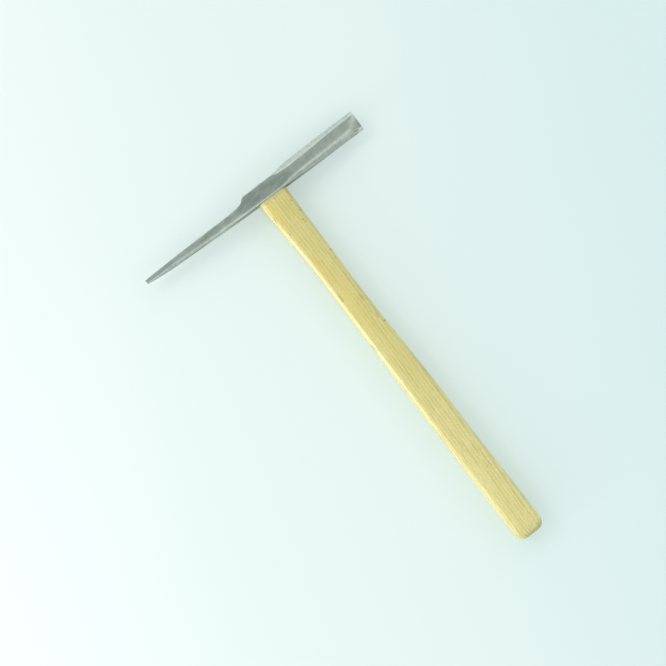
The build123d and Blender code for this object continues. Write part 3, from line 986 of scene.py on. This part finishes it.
class HAMMER_OT_add_handle(bpy.types.Operator):
    """Shape the ash handle with its tenon, and slot the tenon for the wedges"""
    bl_idname = "hammer.add_handle"
    bl_label = "Add Handle"

    def execute(self, context):
        handle = self.shape_grip()
        modify(handle, "SUBSURF", "Smooth", levels=2, render_levels=2)
        ripple(handle, "Handle ripple", HANDLE_RIPPLE, context.scene.hammer_sizes.wood_ripple, 0.55)
        self.add_tenon(handle)
        finish_piece(handle, "handle", ash_material(), smooth=40)
        return {"FINISHED"}

    def shape_grip(self):
        """Plane the corners of the first section, and extrude it down to the butt."""
        shoulder = (SHOULDER_DROP, *HANDLE_SECTIONS[0][1:])
        sections = [shoulder] + HANDLE_SECTIONS[1:] + butt_sections()
        down, pick_half, chisel_half, thickness = sections[0]
        y = UNDERSIDE - down
        centre = middle_at(0, y)
        handle = upright_plane("handle_ash", y)
        resize(centre, (pick_half + chisel_half) * MM, 1, thickness * MM)
        bpy.ops.transform.translate(value=((chisel_half - pick_half) / 2 * MM, 0, 0))
        resize(centre, z=CORNER_SLOPE)
        bpy.ops.mesh.bevel(offset=HANDLE_CORNER * MM, segments=6, profile=CORNER_PROFILE,
                           affect="VERTICES")
        select_whole()
        resize(centre, z=1 / CORNER_SLOPE)
        for before, after in zip(sections, sections[1:]):
            old_width, new_width = before[1] + before[2], after[1] + after[2]
            old_x, new_x = (before[2] - before[1]) / 2, (after[2] - after[1]) / 2
            bpy.ops.mesh.extrude_region_move(TRANSFORM_OT_translate={
                "value": ((new_x - old_x) * MM, (before[0] - after[0]) * MM, 0)})
            resize(middle_at(new_x, UNDERSIDE - after[0]), new_width / old_width, 1,
                   after[3] / before[3])
        choose(handle, "edges", lambda e: all(abs(v.co.y - centre.y) < 1e-6 for v in e.verts))
        bpy.ops.mesh.bevel(offset=SHOULDER_ROUND * MM, segments=3, affect="EDGES",
                           clamp_overlap=True)
        close_edit()
        return handle

    def add_tenon(self, handle):
        """Join the tenon that fills the eye, saw its slot and leave room for the steel wedge."""
        carve(handle, tapered_slot("tenon", UNDERSIDE - TENON_SUNK, BLOCK_TOP, TENON_GAP), "UNION")
        carve(handle, kerf_wedge("kerf_cutter", 0.0))
        carve(handle, steel_wedge_block("steel_cutter", WEDGE_GAP))


class HAMMER_OT_add_wedges(bpy.types.Operator):
    """Fit the wooden wedge along the eye and drive the steel wedge across it"""
    bl_idname = "hammer.add_wedges"
    bl_label = "Add Wedges"

    def execute(self, context):
        wooden = kerf_wedge("wooden_wedge_sawn", WEDGE_GAP)
        outside = tapered_slot("eye_outline", UNDERSIDE, BLOCK_TOP + 0.001, TENON_GAP)
        carve(wooden, outside, "INTERSECT")
        carve(wooden, steel_wedge_block("steel_cutter", WEDGE_GAP))
        soften(wooden, WOOD_EDGE, 2)
        finish_piece(wooden, "wooden_wedge", wedge_wood_material())
        steel = steel_wedge_block("steel_wedge_driven")
        soften(steel, STEEL_EDGE, 3)
        finish_piece(steel, "steel_wedge", wedge_steel_material())
        return {"FINISHED"}


class HAMMER_OT_add_stage(bpy.types.Operator):
    """Set the pale floor, the soft lights, the room's glow and the camera"""
    bl_idname = "hammer.add_stage"
    bl_label = "Add Stage"

    def execute(self, context):
        stage = context.scene.hammer_stage
        self.add_floor(stage)
        self.add_room(context, stage)
        self.add_window("window_light", WINDOW_SPAN, stage.window)
        self.add_window("window_shaded", WINDOW_REST_SPAN, stage.window_rest)
        self.add_camera(context)
        context.scene.view_settings.view_transform = "Standard"
        return {"FINISHED"}

    def add_floor(self, stage):
        clear_selection()
        bpy.ops.mesh.primitive_circle_add(vertices=96, radius=FLOOR_RADIUS, fill_type="NGON",
                                          location=(0, 0, -FLOOR_DROP))
        floor = take_new("floor")
        floor.data.materials.append(self.floor_material(stage))

    def floor_material(self, stage):
        """Pale, with painted light towards the window and painted shade away from it, and its own
        glow where the camera sees it.
        """
        material, shader, place = new_material("Pale floor")
        x, y, _ = axes(place)
        speckle = noise(place, 900.0)
        wide = noise(place, 5.0, 1.0)
        across = plus(maths("SUBTRACT", x, times(y, 0.45)), times(wide, 0.06))
        away = vectors("DISTANCE", place, HANDLE_MIDDLE, output="Value")
        far = fade(away, *FLOOR_FAR)
        # Painted light and shade across the floor, lighter towards the window
        seen = mix(fade(across, 0.06, -0.30), stage.floor_colour, stage.floor_painted_lit)
        seen = mix(fade(across, 0.02, 0.34), seen, stage.floor_painted_shade)
        seen = mix(times(speckle, 0.06), seen, stage.floor_speckle)
        seen = mix(far, seen, stage.floor_colour)
        wire(shader, {"Base Color": seen, "Roughness": fade(speckle, 0.0, 1.0, 0.85, 0.95),
                      "Specular IOR Level": 0.1})
        nodes = material.node_tree.nodes
        lift = times(fade(far, 0.0, 1.0, stage.shadow_lift, 1.0),
                     nodes.new("ShaderNodeLightPath").outputs["Is Camera Ray"])
        glow = node("Emission", {"Color": seen, "Strength": 1.0})
        both = node("MixShader", {0: lift, 1: shader.outputs[0], 2: glow.outputs[0]})
        wire(nodes["Material Output"], {"Surface": both.outputs[0]})
        return material

    def add_room(self, context, stage):
        """Room that is dim overhead, bright around and dim again behind the handle."""
        world = bpy.data.worlds.new("Room")
        context.scene.world = world
        world.use_nodes = True
        nodes = world.node_tree.nodes
        direction = nodes.new("ShaderNodeTexCoord").outputs["Generated"]
        height = axes(direction)[2]
        side = vectors("DOT_PRODUCT", direction, HEADWARDS, "Value")
        wall = plus(stage.horizon, times(side, 0.20))
        behind = times(maths("MINIMUM", side, 0.0), 0.30)
        ring = mix_values(fade(plus(height, behind), *RING_TO_WALLS), stage.surround, wall)
        inside = mix_values(fade(height, *INSIDE_TO_OVERHEAD), stage.surround * INSIDE_LEVEL,
                            stage.overhead)
        level = mix_values(fade(height, *RING_TO_INSIDE), ring, inside)
        toward = vectors("DOT_PRODUCT", direction, stage.lamp_direction, "Value")
        level = plus(level, times(fade(toward, *LAMP_EDGE), stage.lamp))
        shade = mix(fade(height, *TINTED_FROM), (1.0, 1.0, 1.0), TINT)
        room = node("VectorMath", {0: shade, "Scale": level}, operation="SCALE").outputs[0]
        seen = nodes.new("ShaderNodeLightPath").outputs["Is Camera Ray"]
        wire(nodes["Background"], {"Color": mix(seen, room, stage.floor_colour), "Strength": 1.0})

    def add_window(self, name, span, radiance):
        """Upright soft light on the pick's side, over a span along the handle."""
        clear_selection()
        low, high = span
        width = high - low
        bpy.ops.object.light_add(
            type="AREA", location=(-WINDOW_AWAY, (low + high) / 2, WINDOW_SILL + WINDOW_HEIGHT / 2),
            rotation=(math.radians(90), 0, math.radians(-90)))
        light = bpy.context.active_object
        light.name = name
        light.data.shape = "RECTANGLE"
        light.data.size = width
        light.data.size_y = WINDOW_HEIGHT
        light.data.energy = radiance * math.pi * width * WINDOW_HEIGHT
        light.visible_camera = False

    def add_camera(self, context):
        clear_selection()
        bpy.ops.object.camera_add(location=CAMERA_PLACE, rotation=(0, 0, math.radians(CAMERA_TURN)))
        camera = bpy.context.active_object
        camera.name = "camera"
        camera.data.sensor_width = CAMERA_SENSOR
        camera.data.lens = CAMERA_LENS
        camera.data.dof.use_dof = False
        context.scene.camera = camera


class HAMMER_PT_panel(bpy.types.Panel):
    """Sizes, colours and steps of the chipping hammer"""
    bl_idname = "HAMMER_PT_panel"
    bl_label = "Chipping Hammer"
    bl_space_type = "VIEW_3D"
    bl_region_type = "UI"
    bl_category = "Hammer"

    def draw(self, context):
        layout = self.layout
        for settings in (context.scene.hammer_sizes, context.scene.hammer_finish,
                         context.scene.hammer_stage):
            box = layout.box()
            for name in settings.__annotations__:
                box.prop(settings, name)
        for operator in OPERATORS:
            layout.operator(operator.bl_idname)


SETTINGS = {"hammer_sizes": HammerSizes, "hammer_finish": HammerFinish, "hammer_stage": HammerStage}
OPERATORS = (HAMMER_OT_add_head, HAMMER_OT_add_handle, HAMMER_OT_add_wedges, HAMMER_OT_add_stage)


def register():
    for cls in (*SETTINGS.values(), *OPERATORS, HAMMER_PT_panel):
        bpy.utils.register_class(cls)
    for name, cls in SETTINGS.items():
        setattr(bpy.types.Scene, name, bpy.props.PointerProperty(type=cls))


def unregister():
    for name in SETTINGS:
        delattr(bpy.types.Scene, name)
    for cls in reversed((*SETTINGS.values(), *OPERATORS, HAMMER_PT_panel)):
        bpy.utils.unregister_class(cls)


def main():
    register()
    build_masks()
    build_mark()
    bpy.ops.hammer.add_head()
    bpy.ops.hammer.add_handle()
    bpy.ops.hammer.add_wedges()
    bpy.ops.hammer.add_stage()


if __name__ == "__main__":
    main()
